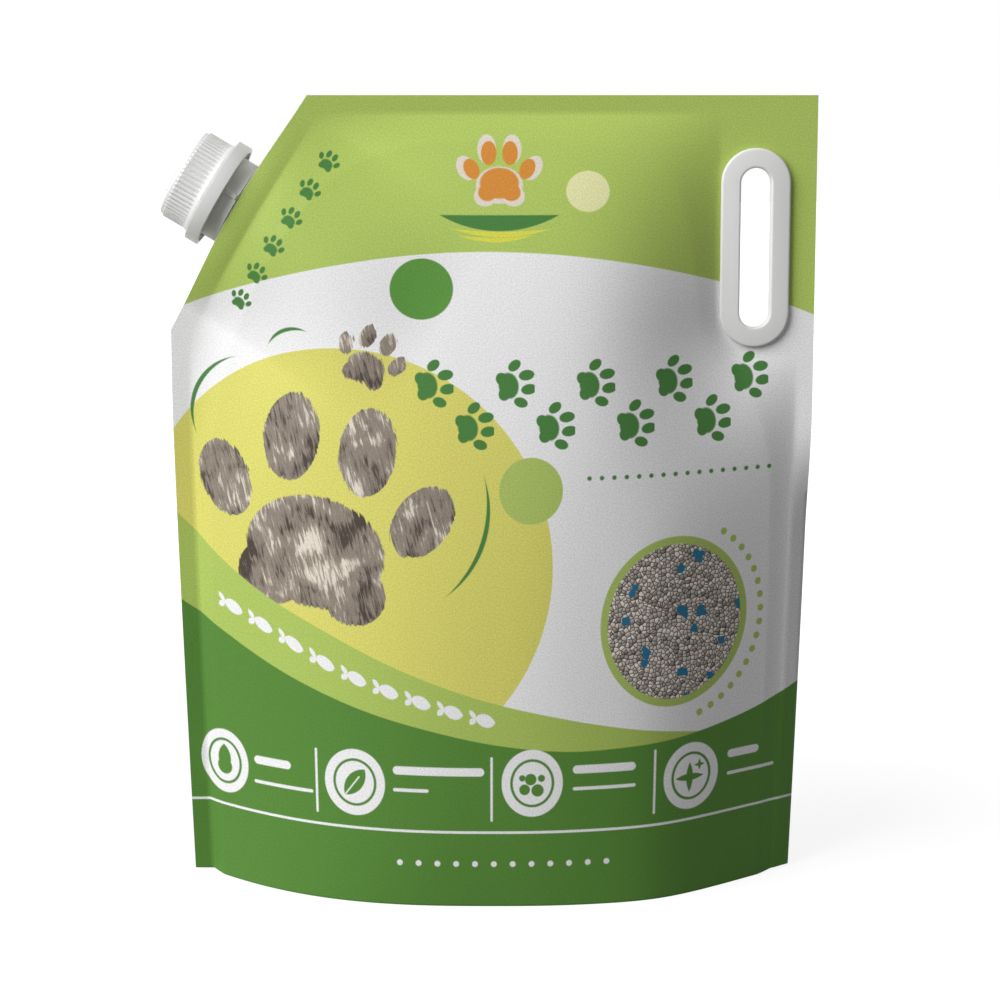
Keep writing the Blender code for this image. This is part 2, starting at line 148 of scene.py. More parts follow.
slopeLength = math.hypot(pouch["slopeWidth"], pouch["slopeHeight"])
slopeTop = np.array((pouch["slopeWidth"] - pouch["width"] / 2, pouch["height"]))
downSlope = np.array((-pouch["slopeWidth"], -pouch["slopeHeight"])) / slopeLength
outSlope = np.array((-pouch["slopeHeight"], pouch["slopeWidth"])) / slopeLength
slopeFoot = pouch["height"] - pouch["slopeHeight"]
gripOuter = [size + 2 * grip["band"] for size in grip["hole"]]
gripX = pouch["width"] / 2 - grip["side"] - gripOuter[0] / 2
gripZ = pouch["height"] - grip["top"] - gripOuter[1] / 2


def slopeBow(along):
    return pouch["slopeBow"] * np.sin(np.pi * np.clip(along / slopeLength, 0, 1))


spoutBase = slopeTop + downSlope * spout["along"] + outSlope * slopeBow(spout["along"])


def fromPoint(x, z, point, axis):
    # how far a place lies from a point of the sloped edge, along an axis of that edge
    return (x - point[0]) * axis[0] + (z - point[1]) * axis[1]


def halfWidth(z):
    low = np.clip(1 - z / pouch["narrowingHeight"], 0, 1)
    return pouch["width"] / 2 - pouch["baseNarrowing"] * low ** pouch["narrowingPower"]


def leftEdge(z):
    along = (pouch["height"] - z) / pouch["slopeHeight"] * slopeLength
    onSlope = slopeTop[0] + downSlope[0] * along + outSlope[0] * slopeBow(along)
    return np.where(z <= slopeFoot, -halfWidth(z), onSlope)


def leftSealLine(z):
    share = np.clip((z - slopeFoot) / pouch["sealBlend"], 0, 1)
    wide = pouch["slopeSeal"] * slopeLength / pouch["slopeHeight"]
    return leftEdge(z) + pouch["sideSeal"] + (wide - pouch["sideSeal"]) * share


def rise(distance, length, power):
    return 1 - (1 - np.clip(distance / length, 0, 1)) ** power


def eased(distance, length):
    share = np.clip(distance / length, 0, 1)
    return share * share * (3 - 2 * share)


def boatProfile(along, halfLength, halfDepth):
    share = np.minimum(np.abs(along) / halfLength, 1)
    return halfDepth * np.maximum(np.cos(np.pi / 2 * share), 0) ** spout["boatPower"]


def gripDistance(x, z):
    # how far a point lies from the flat welded field round the hand hole
    corner = gripOuter[0] / 2 + pouch["gripBorder"]
    toLeft = gripX - gripOuter[0] / 2 - pouch["gripBorder"] + corner - x
    toBelow = gripZ - gripOuter[1] / 2 - pouch["gripBorder"] + corner - z
    outside = np.hypot(np.maximum(toLeft, 0), np.maximum(toBelow, 0) * pouch["gripBelow"])
    return outside + np.minimum(np.maximum(toLeft, toBelow), 0) - corner


def filling(x, z, insideSlope):
    # how far the litter swells the bag between its seals
    low = -halfWidth(z) + pouch["sideSeal"]
    high = halfWidth(z) - pouch["freeSeal"]
    share = np.minimum(np.abs(2 * x - low - high) / (high - low), 1)
    leftRound, rightRound = pouch["sideRound"]
    around = np.where(2 * x > low + high, rightRound, leftRound)
    power = pouch["sidePower"] + pouch["basePower"] * np.exp(-np.maximum(z, 0) / pouch["baseFade"])
    depth = pouch["depth"] / 2 * (1 - share ** power) ** around
    depth = depth * rise(pouch["height"] - pouch["topSeal"] - z, pouch["topTaper"], pouch["topPower"])
    depth = depth * rise(insideSlope - pouch["slopeSeal"], pouch["slopeTaper"], pouch["slopePower"])
    depth = depth * rise(gripDistance(x, z), pouch["gripTaper"], pouch["gripPower"])
    foot = np.clip(1 - z / pouch["footHeight"], 0, 1)
    return depth * (1 - pouch["footDrawIn"] / (pouch["depth"] / 2) * foot ** 2)


def belly(x, z):
    # half thickness of the filled bag at a point of its film
    insideSlope = -fromPoint(x, z, slopeTop, outSlope)
    depth = filling(x, z, insideSlope)
    # the films part round the weld boat of the spout
    along, inwards = fromPoint(x, z, spoutBase, downSlope), -fromPoint(x, z, spoutBase, outSlope)
    filmHalf = spout["filmHalf"] + spout["gap"] + spout["boatFilm"]
    wrap = boatProfile(along, spout["boatHalf"] + spout["boatWrap"], filmHalf)
    wrap = wrap * (1 - eased(inwards, spout["boatReach"]))
    lift = rise(inwards, spout["liftReach"], spout["liftPower"]) - spout["liftStart"]
    wrap = wrap * (1 + spout["lift"] * lift)
    # the film springs out of the sloped seal at once
    spring = pouch["springDepth"] * rise(insideSlope - pouch["slopeSeal"], pouch["springReach"], 2)
    spring = spring * np.minimum(depth / pouch["springFade"], 1)
    # a shallow crease runs beside the sloped seal where the film leaves the boat
    fromSeal = (insideSlope - pouch["slopeSeal"]) / pouch["creaseWidth"]
    crease = pouch["creaseDepth"] * np.exp(-fromSeal ** 2) * np.minimum(wrap / filmHalf, 1)
    # a soft upright fold in the right half of the panel
    start, end = pouch["foldSpan"]
    fold = pouch["foldRise"] * np.exp(-((x - pouch["foldPlace"]) / pouch["foldWidth"]) ** 2 / 2)
    fold = fold * (1 - eased(z - start, end - start))
    return pouch["sealHalf"] + depth + spring + wrap - crease + fold


def sealLean(x, z):
    # below the hand hole the free seal is drawn backwards by the full bag
    start, end = pouch["leanSpan"]
    share = 1 - eased(z - start, end - start)
    return pouch["leanSlope"] * share * np.maximum(x - halfWidth(z) + pouch["freeSeal"], 0)


def rimHeight(halfDepth):
    return pouch["tabLift"] * (1 - np.minimum(halfDepth / pouch["tabHalf"], 1)) ** 2


# films of the pouch: a fine grid that keeps its columns and rows on the seal lines
film = {
    "sealColumns": 5, "panelColumns": 200, "freeColumns": 4, "rows": 215, "sealRows": 5, "crowding": 0.35,
    "holeInset": 4.6, "sharpAngle": 60, "weld": 0.002, "rimStep": 1.2, "edgeStep": 0.4,
}
# the print's own sheet, in millimetres; it reaches a little past the film's edges and under its rim
sheetSize = (pouch["width"] + 2, pouch["height"] + 9)
sheetMargin = (1, 8)


def crowded(start, end, count):
    # places from start up to, not including, end, closer together at both ends
    share = np.arange(count) / count
    return start + (end - start) * (share - film["crowding"] * np.sin(2 * np.pi * share) / (2 * np.pi))


def filmRows():
    sealLow = pouch["height"] - pouch["topSeal"]
    panel = crowded(0, sealLow, film["rows"])
    return np.append(panel, np.linspace(sealLow, pouch["height"], film["sealRows"] + 1))


def filmColumns(z):
    left, seal, right = float(leftEdge(z)), float(leftSealLine(z)), float(halfWidth(z))
    sealed = np.linspace(left, seal, film["sealColumns"], endpoint=False)
    panel = crowded(seal, right - pouch["freeSeal"], film["panelColumns"])
    free = np.linspace(right - pouch["freeSeal"], right, film["freeColumns"] + 1)
    return np.concatenate((sealed, panel, free))


def underside(half, high):
    # skirt's rounded rim, the fold behind it and the gusset down to the floor, as steps inwards and up
    thick, fold, reach = pouch["skirtFilm"], pouch["skirtHeight"], pouch["gussetReach"]
    steps = (
        (0.3 * thick, -0.2), (0.7 * thick, -0.2), (thick, 0), (thick + 0.3, 0.5 * fold),
        (thick + 0.9, 0.9 * fold), (thick + 2.2, fold + 0.4), (4.5, fold + 0.2), (0.4 * reach, 0.5 * fold),
        (0.6 * reach, 0.2 * fold), (0.8 * reach, 0.3), (reach, 0),
    )
    size = np.minimum(half / pouch["skirtFade"], 1)
    return [(half - size * y, high + size * up) for y, up in steps]


def ringGap(x, z):
    # signed distance to the film's hole, and the middle line that it is measured from
    straight = (gripOuter[1] - gripOuter[0]) / 2
    middle = gripZ + np.clip(z - gripZ, -straight, straight)
    return np.hypot(x - gripX, z - middle) - (gripOuter[0] / 2 - film["holeInset"]), middle


def fourCorners(grid):
    # the grid as seen from each corner of its cells
    return grid[:-1, :-1], grid[1:, :-1], grid[:-1, 1:], grid[1:, 1:]


def openHole(x, z):
    # cells inside the hand hole go, and points of the others move out of it onto its rounded outline
    gap, _ = ringGap(x, z)
    keep = np.maximum.reduce(fourCorners(gap)) > 0
    rim = np.logical_or.reduce(fourCorners(np.pad(keep, 1))) & (gap < 0)
    for _ in range(3):
        gap, middle = ringGap(x, z)
        away = np.maximum(np.hypot(x - gripX, z - middle), 0.01)
        x = np.where(rim, x - gap * (x - gripX) / away, x)
        z = np.where(rim, z - gap * (z - middle) / away, z)
    return x, z, keep


def closeEdges(points, places, side):
    # the cut edges turn in, to the other film at a seal and to the weld boat at the spout
    points = np.pad(points, ((0, 1), (1, 1), (0, 0)), mode="edge")
    places = np.pad(places, ((0, 1), (1, 1), (0, 0)), mode="edge")
    boatDepth = spout["filmHalf"] - spout["boatInset"] - spout["boatTip"]
    for edge in (np.s_[-1, :], np.s_[:, 0], np.s_[:, -1]):
        x, y, z = points[edge].T
        middle = sealLean(x, z)
        boat = boatProfile(fromPoint(x, z, spoutBase, downSlope), spout["boatHalf"], boatDepth)
        boat = np.where(z > slopeFoot, boat, 0)
        points[(*edge, 1)] = middle + side * np.minimum(boat, np.abs(y - middle))
    places[-1, :, 1] += film["edgeStep"]
    places[:, 0, 0] -= film["edgeStep"]
    places[:, -1, 0] += film["edgeStep"]
    return points, places


def gridFaces(keep, side):
    wide = keep.shape[1] + 1
    faces = []
    for r, c in zip(*np.nonzero(keep)):
        first = int(r * wide + c)
        quad = (first, first + 1, first + wide + 1, first + wide)
        faces.append(quad if side < 0 else quad[::-1])
    return faces


def addPrintMap(obj, places):
    # places on the print's sheet, one for each point
    layer = obj.data.uv_layers.new(name="OFBake")
    corners = np.zeros(len(obj.data.loops), np.int32)
    obj.data.loops.foreach_get("vertex_index", corners)
    shares = (np.asarray(places) + sheetMargin) / sheetSize
    layer.data.foreach_set("uv", shares[corners].astype(np.float32).ravel())


def weldPoints(shape):
    # points that fell together become one
    bmesh.ops.remove_doubles(shape, verts=shape.verts, dist=film["weld"] * mm)


def buildFilm(name, side, mat):
    rows = filmRows()
    x = np.array([filmColumns(z) for z in rows])
    z = np.repeat(rows[:, None], x.shape[1], axis=1)
    x, z, keep = openHole(x, z)
    half, lean, high = belly(x, z), sealLean(x, z), z.copy()
    high[0] = rimHeight(half[0])
    points = np.stack((x, side * half + lean, high), axis=-1)
    across = (x / halfWidth(z) + 1) * pouch["width"] / 2
    places = np.stack((across, z), axis=-1)
    # the skirt's rim goes on below the first row
    steps = pouch["rimSteps"]
    rim = underside(half[0], high[0])[:steps]
    rimPoints = [np.stack((x[0], side * y + lean[0], up), axis=-1) for y, up in rim[::-1]]
    rimPlaces = [np.stack((across[0], np.full(x.shape[1], -film["rimStep"] * step)), axis=-1)
                 for step in range(steps, 0, -1)]
    points, places = np.concatenate((rimPoints, points)), np.concatenate((rimPlaces, places))
    points, places = closeEdges(points, places, side)
    keep = np.pad(keep, ((steps, 1), (1, 1)), constant_values=True)
    used, corners = np.unique(np.array(gridFaces(keep, side)), return_inverse=True)
    faces = corners.reshape(-1, 4).tolist()
    obj = addMesh(name, points.reshape(-1, 3)[used] * mm, faces, mat, film["sharpAngle"])
    addPrintMap(obj, places.reshape(-1, 2)[used])
    reshape(obj, weldPoints)
    settle(obj, "bag", "pouch")
    return obj


def buildGusset(mat):
    # the bottom film, folded up inside the skirt and flat on the floor between the folds
    x = filmColumns(0)
    level = np.zeros_like(x)
    half = belly(x, level)
    front = underside(half, rimHeight(half))[pouch["rimSteps"] - 1:]
    line = [(-y, up) for y, up in front] + [(y, up) for y, up in front[::-1]]
    points = np.array([np.stack((x, y + sealLean(x, level), up), axis=-1) for y, up in line])
    keep = np.ones((len(line) - 1, len(x) - 1), bool)
    obj = addMesh("gusset", points.reshape(-1, 3) * mm, gridFaces(keep, 1), mat, 0)
    settle(obj, "bag", "pouch")


# spout and its fittings, on their own axis: local x down the slope, local y to the front, local z outwards
def spoutPlace():
    down = Vector((downSlope[0], 0, downSlope[1]))
    out = Vector((outSlope[0], 0, outSlope[1]))
    axes = Matrix((down, Vector((0, -1, 0)), out)).transposed().to_4x4()
    return Matrix.Translation(Vector((spoutBase[0], 0, spoutBase[1])) * mm) @ axes


def loft(name, rings, mat, caps=None, sharpAngle=35, place=None):
    # rings of equal count; caps gives the points that close the first and the last ring
    rings = np.asarray(rings, float)
    count = rings.shape[1]
    points = rings.reshape(-1, 3).tolist()
    faces = []
    for r in range(len(rings) if caps is None else len(rings) - 1):
        a, b = r * count, (r + 1) % len(rings) * count
        faces += [(a + i, a + (i + 1) % count, b + (i + 1) % count, b + i) for i in range(count)]
    if caps is not None:
        last = (len(rings) - 1) * count
        points += [caps[0], caps[1]]
        first = len(points) - 2
        faces += [(first, (i + 1) % count, i) for i in range(count)]
        faces += [(first + 1, last + i, last + (i + 1) % count) for i in range(count)]
    obj = addMesh(name, np.asarray(points) * mm, faces, mat, sharpAngle)
    reshape(obj, lambda shape: bmesh.ops.recalc_face_normals(shape, faces=shape.faces))
    if place is not None:
        obj.matrix_world = place
    return obj


def oval(halfX, halfY, high, count=160):
    angles = 2 * np.pi * np.arange(count) / count
    return np.stack((halfX * np.cos(angles), halfY * np.sin(angles), np.full(count, high)), axis=-1)


def turned(profile, count=160):
    # rings of a turned shape from (radius, height) pairs
    return [oval(radius, radius, high, count) for radius, high in profile]


def filleted(corners, sizes, steps=4):
    # a closed profile whose corners are rounded by their own sizes
    result = []
    for i, (corner, size) in enumerate(zip(corners, sizes)):
        here = np.array(corner, float)
        if size <= 0:
            result.append(tuple(here))
            continue
        before, after = np.array(corners[i - 1], float), np.array(corners[(i + 1) % len(corners)], float)
        to, fro = before - here, after - here
        start = here + to / np.linalg.norm(to) * size
        end = here + fro / np.linalg.norm(fro) * size
        for k in range(steps + 1):
            t = k / steps
            result.append(tuple((1 - t) ** 2 * start + 2 * t * (1 - t) * here + t ** 2 * end))
    return result


# neck finish, tamper ring, sealing disc and screw cap stack up along the spout's axis
neckRib = {"width": 2.2, "bevel": 0.4, "rise": 1.1, "aside": 4.4, "points": 320}
ring = {"gap": 3.6, "wall": 2.2, "height": 6.9, "web": 1.8}
liner = {"play": 0.5, "thick": 1.0, "round": 0.15}
cap = {
    "play": 1.0, "wall": 1.6, "flareOut": 0.7, "flare": 2.0, "crown": 1.5, "edge": 2.2, "dish": 0.4,
    "ribs": 60, "ribDepth": 0.75, "grooveShape": 1.4, "pointsPerRib": 14,
}
coreR = spout["neckR"] - spout["finishStep"]
beadR = coreR + spout["beadRise"]
boreR = coreR - spout["finishWall"]
capR = beadR + cap["play"] + cap["wall"]
webLow = spout["shoulder"] + spout["gap"]
capBase = webLow + ring["web"] + spout["gap"]
linerLow = spout["neckLength"] + spout["gap"]
crownLow = linerLow + liner["thick"] + spout["gap"]
capTop = crownLow + cap["crown"]


def boatRing(inset, high):
    # an outline of the weld boat; high is below the film's sloped edge, which bows outwards
    outline = oval(spout["boatHalf"], 1, high, neckRib["points"])
    outline[:, 2] += slopeBow(spout["along"] + outline[:, 0]) - slopeBow(spout["along"])
    halfDepth = spout["filmHalf"] - spout["boatInset"] - spout["boatTip"] - inset
    depth = boatProfile(outline[:, 0], spout["boatHalf"], halfDepth) + spout["boatTip"]
    outline[:, 1] = np.clip(outline[:, 1] * 8, -1, 1) * depth
    return outline


def ribbedNeck(rings):
    # an upright rib stands out of the front and of the back of the neck
    for outline in rings:
        side = np.sign(outline[:, 1])
        away = np.abs(outline[:, 0] + side * neckRib["aside"])
        share = np.clip((neckRib["width"] / 2 - away) / neckRib["bevel"] + 1, 0, 1)
        outline[:, 1] += side * neckRib["rise"] * share
    return rings


def buildSpout(mat):
    neckR, shoulder, count = spout["neckR"], spout["shoulder"], neckRib["points"]
    boatDepth, groove = spout["boatDepth"], spout["boatGroove"]
    boatHalf = spout["filmHalf"] - spout["boatInset"]
    # weld ribs run round the boat, with grooves between them
    ribStep = (boatDepth - 1) / spout["boatRibs"]
    rings = []
    for i in range(spout["boatRibs"]):
        for share, inset in ((0, 0), (0.6, 0), (0.64, groove), (0.96, groove)):
            rings.append(boatRing(inset, (i + share) * ribStep - boatDepth))
    rings += [boatRing(0, -1), boatRing(0, -0.2)]
    # the neck's foot stands on the films' edges with a small chamfer
    foot = neckR + spout["footChamfer"]
    rings += [oval(neckR, boatHalf - 0.1, -0.2, count), oval(foot - 0.2, foot - 0.2, 0.1, count)]
    rings.append(oval(foot, foot, 0.25, count))
    rings += ribbedNeck(turned([(neckR, 1), (neckR, 4), (neckR, 8), (neckR, shoulder - 1)], count))
    mouth = spout["neckLength"]
    rings += turned((
        (neckR, shoulder - 0.8), (neckR, shoulder - 0.4), (neckR - 0.15, shoulder - 0.1),
        (neckR - 0.4, shoulder), (coreR, shoulder), (coreR, capBase), (beadR - 0.2, capBase + 0.25),
        (beadR, capBase + 0.6), (beadR - 0.2, capBase + 0.95), (coreR, capBase + 1.5), (coreR, mouth - 0.6),
        (coreR - 0.2, mouth - 0.15), (coreR - 0.6, mouth), (boreR + 0.3, mouth), (boreR, mouth - 0.3),
        (boreR, spout["neckRound"]),
    ), count)
    boreHalf = spout["filmHalf"] - spout["filmWall"]
    rings += [oval(boreR, boreHalf, 0, count), oval(boreR, boreHalf, -boatDepth, count)]
    return loft("spoutMoulding", rings, mat, place=spoutPlace())


thread = {
    "pitch": 4.2286, "turns": 2.0, "root": 1.9, "tip": 0.8, "neckTip": 21.3, "capTip": 20.4, "above": 3.2,
    "runOut": 0.12, "runShape": 0.5, "endShare": 0.3, "stepsPerTurn": 96, "sink": 0.1,
}


def buildThread(name, mat, rootR, tipR, phase):
    # a right-hand thread with a trapezoid section that runs out at both ends
    count = int(thread["stepsPerTurn"] * thread["turns"])
    share = np.arange(count + 1) / count
    angle = 2 * np.pi * thread["turns"] * share + phase
    middle = capBase + thread["above"] + thread["pitch"] * thread["turns"] * share
    full = np.clip(np.minimum(share, 1 - share) / thread["runOut"], 0.01, 1) ** thread["runShape"]
    root, tip = thread["root"] / 2, thread["tip"] / 2
    section = ((0, -root), (1, -tip), (1, tip), (0, root))
    rings = []
    for turn, high, size in zip(angle, middle, full):
        tall = thread["endShare"] + (1 - thread["endShare"]) * size
        radii = [rootR + (tipR - rootR) * out * size for out, _ in section]
        rings.append([(r * math.cos(turn), r * math.sin(turn), high + up * tall)
                      for r, (_, up) in zip(radii, section)])
    ends = [tuple(np.mean(rings[0], axis=0)), tuple(np.mean(rings[-1], axis=0))]
    return loft(name, rings, mat, caps=ends, place=spoutPlace())


def buildTamperRing(mat):
    top = webLow + ring["web"]
    low = top - ring["height"]
    skirt = spout["neckR"] + ring["gap"]
    outer = skirt + ring["wall"]
    inner = coreR + spout["gap"]
    corners = ((skirt, low), (outer, low), (outer, top), (inner, top), (inner, webLow), (skirt, webLow))
    profile = filleted(corners, (0.3, 0.5, 0.35, 0.2, 0.2, 0.8))
    return loft("tamperRing", turned(profile), mat, place=spoutPlace())


def ribbed(radius, depth, high):
    count = cap["ribs"] * cap["pointsPerRib"]
    angles = 2 * np.pi * np.arange(count) / count
    radii = radius - depth * (0.5 - 0.5 * np.cos(cap["ribs"] * angles)) ** cap["grooveShape"]
    return oval(radii, radii, high, count)


def buildCap(mat):
    inner = capR - cap["wall"]
    depth, edge = cap["ribDepth"], cap["edge"]
    flareR, flareTop = capR + cap["flareOut"], capBase + cap["flare"]
    ribTop, dishHigh = capTop - edge, capTop - cap["dish"]
    # radius, depth of the grooves and height, from the bore over the flare and up the ribs
    profile = [
        (inner - 0.4, 0, crownLow), (inner, 0, crownLow - 0.4), (inner, 0, capBase + 0.3),
        (inner + 0.3, 0, capBase), (flareR - 0.25, 0, capBase), (flareR, 0, capBase + 0.25),
        (flareR, 0, capBase + 0.8), (flareR - 0.15, 0, capBase + 1.1), (capR + 0.4, 0, flareTop - 0.5),
        (capR + 0.15, 0, flareTop), (capR, 0.15 * depth, flareTop + 0.5),
        (capR, 0.6 * depth, flareTop + 1.4), (capR, depth, flareTop + 2.6),
        (capR, depth, ribTop - 0.8), (capR, depth, ribTop - 0.65),
        (capR - 0.9 * depth, 0.1 * depth, ribTop - 0.05),
    ]
    for k in range(1, 8):
        turn = math.pi / 2 * k / 7
        profile.append((capR - depth - edge * (1 - math.cos(turn)), 0, ribTop + edge * math.sin(turn)))
    # a shallow dish in the crown, with a low ring round it
    profile += [(capR - edge - 1.2, 0, capTop), (capR - edge - 1.7, 0, dishHigh + 0.05),
                (capR - 8, 0, dishHigh), (0.25 * capR, 0, dishHigh)]
    rings = [ribbed(r, d, h) for r, d, h in profile]
    ends = (0, 0, crownLow), (0, 0, dishHigh)
    return loft("screwCap", rings, mat, caps=ends, sharpAngle=60, place=spoutPlace())


def buildLiner(mat):
    radius, edge = capR - cap["wall"] - liner["play"], liner["round"]
    top = linerLow + liner["thick"]
    profile = [(radius - edge, linerLow), (radius, linerLow + edge), (radius, top - edge),
               (radius - edge, top)]
    ends = (0, 0, linerLow), (0, 0, top)
    return loft("sealingDisc", turned(profile), mat, caps=ends, place=spoutPlace())


# hand hole ring: its front half carries the collar, its back half is a plain plate
def obround(inset, y, arcPoints=40):
    radius = gripOuter[0] / 2 - inset
    straight = (gripOuter[1] - gripOuter[0]) / 2
    outline = []
    for centre, start in ((straight, 0), (-straight, math.pi)):
        for i in range(arcPoints + 1):
            turn = start + math.pi * i / arcPoints
            outline.append((gripX + radius * math.cos(turn), y, gripZ + centre + radius * math.sin(turn)))
    return outline


def buildGrip(mat):
    seat = pouch["sealHalf"] + spout["gap"]
    face = seat + grip["plate"]
    collar = grip["band"] - grip["collar"]
    backEnd = collar - spout["gap"]
    # both faces fall a little from the hole to the outer edge
    low, high = face - grip["crowned"], face + grip["crowned"]
    frontCorners = ((0, seat), (0, low), (grip["band"], high), (grip["band"], -face), (collar, -face),
                    (collar, seat))
    front = filleted(frontCorners, (0.2, grip["round"], grip["round"], 0.4, 0.2, 0), 6)
    backCorners = ((0, seat), (0, low), (backEnd, face), (backEnd, seat))
    back = filleted(backCorners, (0.2, grip["round"], 0.3, 0), 6)
    return (loft("gripFront", [obround(inset, -out) for inset, out in front], mat),
            loft("gripBack", [obround(inset, out) for inset, out in back[::-1]], mat))


# printed film: the artwork's fields, discs and motifs, in millimetres on the film
inks = {
    "white": "#e7e7e7", "topGreen": "#acc263", "darkGreen": "#548138", "bandGreen": "#a6bc5f",
    "yellow": "#d2ce6c", "beige": "#e0dfa9", "motifGreen": "#4a7d40", "softGreen": "#a9bd66",
    "furDark": "#4a413b", "fur": "#8a7f74", "cream": "#d9d0c2", "orange": "#cf8a3c", "lemon": "#d3d24e",
    "grit": "#efe6db", "gritDark": "#3f3733", "flake": "#2c6f8f", "dotGreen": "#5d9242",
}
artwork = {
    "softEdge": 0.25, "lineEdge": 0.2,
    "topCircle": ((157, -103), (844, 844)),
    "disc": ((85, 168.5), (209, 209)),
    "bandTop": ((0, 186.9), (32, 159), (74.7, 136), (139.6, 109.2), (194, 95), (248, 84.8), (320, 76)),
    "darkTop": ((0, 142.3), (21, 129.4), (69, 106.4), (134, 87.6), (185, 79.2), (216, 78.3), (283, 85.6),
                (320, 98.5)),
    "line": (38.2, 1.3),
    "dots": (((125.9, 301.5), (30.6, 29), "dotGreen"), ((178.8, 206), (30.8, 31.8), "softGreen"),
             ((206.6, 347.7), (21.2, 19.6), "beige")),
}
# the front film is printed with one material for each region, so that no spot works out motifs elsewhere
regions = {
    "Top": ((-9, 330), (286, 410)), "Left": ((-9, 163.3), (80, 286)), "Right": ((163.3, 330), (80, 286)),
    "FootLeft": ((-9, 165), (-9, 80)), "FootRight": ((165, 330), (-9, 80)),
}


def isIn(region, spot):
    # regions hold their span across and their span up the print
    return all(low <= value < high for value, (low, high) in zip(spot, regions[region]))


def shifted(spot, step):
    return spot[0] + step[0], spot[1] + step[1]


def printInk(under, ink, mask):
    # an ink laid over what is printed already; each is a named ink or another node's colour
    under, ink = (hexToLinear(inks[tone]) if isinstance(tone, str) else tone for tone in (under, ink))
    return addNode("Mix", {0: mask, 6: under, 7: ink}, data_type="RGBA")


def joined(masks, operation="MAXIMUM"):
    result = masks[0]
    for mask in masks[1:]:
        result = addNode("Math", [result, mask], operation)
    return result


def without(mask, hole):
    left = addNode("Math", [1, hole], "SUBTRACT")
    return joined([mask, left], "MINIMUM")


def alongAxis(place, axis):
    # how far a place lies along an axis; this takes the renderer less room than mapped coordinates
    return addNode("VectorMath", [place, (*axis, 0)], "DOT_PRODUCT")


def bothAxes(place):
    return alongAxis(place, (1, 0)), alongAxis(place, (0, 1))


def localPlace(place, centre, size=(2, 2), turn=0):
    # coordinates in which the turned ellipse of this size is the unit circle
    angle = math.radians(turn)
    axes = np.array(((math.cos(angle), math.sin(angle)), (-math.sin(angle), math.cos(angle))))
    axes = axes * 2 / np.array(size)[:, None]
    shift = (*(-axes @ np.array(centre)), 0)
    if turn == 0:
        return addNode("VectorMath", [place, (axes[0, 0], axes[1, 1], 0), shift], "MULTIPLY_ADD")
    x, y = (alongAxis(place, axis) for axis in axes)
    return addNode("VectorMath", [addNode("CombineXYZ", [x, y]), shift], "ADD")


def inside(length, edge):
    # full up to the unit circle, with a narrow soft edge
    return addNode("MapRange", [length, 1 + edge, 1 - edge])


def discMask(place, centre, size):
    local = localPlace(place, centre, size)
    length = addNode("VectorMath", [local], "LENGTH")
    return inside(length, artwork["softEdge"] / (min(size) / 2))


def barMask(place, centre, length, width, turn=0):
    # a bar with round ends
    apart = addNode("VectorMath", [localPlace(place, centre, turn=turn)], "ABSOLUTE")
    apart = addNode("VectorMath", [apart, ((length - width) / 2, 0, 0)], "SUBTRACT")
    apart = addNode("VectorMath", [apart, (0, 0, 0)], "MAXIMUM")
    return discMask(apart, (0, 0), (width, width))


def leafMask(place, centre, length, width, turn=0, bow=0):
    # the space between two arcs that meet in both tips; bow bends it to one side
    local = localPlace(place, centre, turn=turn)
    masks = []
    for height in (bow + width / 2, bow - width / 2):
        radius = (length ** 2 / 4 + height ** 2) / (2 * abs(height))
        middle = height - math.copysign(radius, height)
        masks.append(discMask(local, (0, middle), (2 * radius, 2 * radius)))
    if bow > width / 2:
        return without(masks[0], masks[1])
    return joined(masks, "MINIMUM")


paw = {
    # middle, size and turn of the pad, its side lobe, an inner and an outer toe, as shares of the paw's size
    "lobes": (((0, -0.22), (0.95, 0.74), 0), ((0.27, -0.42), (0.5, 0.44), -25),
              ((0.26, 0.5), (0.38, 0.58), 0), ((0.68, 0.12), (0.36, 0.52), -28)),
    "edgeShare": 0.25,
}


def pawMask(place, centre, size, turn=0):
    # a broad pad with three lobes and four toes, the same on both sides
    local = localPlace(place, centre, (2 * size, 2 * size), turn)
    aside = addNode("Math", [alongAxis(local, (1, 0))], "ABSOLUTE")
    half = addNode("CombineXYZ", [aside, alongAxis(local, (0, 1))])
    lengths = [addNode("VectorMath", [localPlace(half, *lobe)], "LENGTH")
               for lobe in paw["lobes"]]
    return inside(joined(lengths, "MINIMUM"), artwork["softEdge"] / size / paw["edgeShare"])


def alongRow(place, row, motif, *details):
    # a motif that comes again at each step of a row; sway moves every other one across it
    step, sway, half = row["step"], row.get("sway", 0), row["count"] / 2
    local = localPlace(place, row["start"], (2 * step, 2 * step), row.get("turn", 0))
    along, across = bothAxes(local)
    index = addNode("Math", [along], "FLOOR")
    odd = addNode("Math", [index, 2], "FLOORED_MODULO")
    beside = addNode("Math", [along, index], "SUBTRACT")
    lifted = addNode("Math", [odd, 2 * sway / step, across], "MULTIPLY_ADD")
    cell = addNode("CombineXYZ", [beside, lifted])
    cell = addNode("VectorMath", [cell, (step, step, 0), (-step / 2, -sway, 0)], "MULTIPLY_ADD")
    extent = addNode("Math", [along, half, half], "COMPARE")
    return joined([motif(cell, (0, 0), *details), extent], "MINIMUM")


def boundaryHeight(u, points):
    # height of a wavy boundary across the print, through its points in millimetres
    share = addNode("Math", [u, pouch["width"]], "DIVIDE")
    wave = addNode("FloatCurve", {"Value": share})
    line = wave.node.mapping.curves[0]
    for _ in points[2:]:
        line.points.new(0.5, 0.5)
    for spot, (x, y) in zip(line.points, points):
        spot.location = (x / pouch["width"], y / pouch["width"])
    wave.node.mapping.update()
    return addNode("Math", [wave, pouch["width"]], "MULTIPLY")


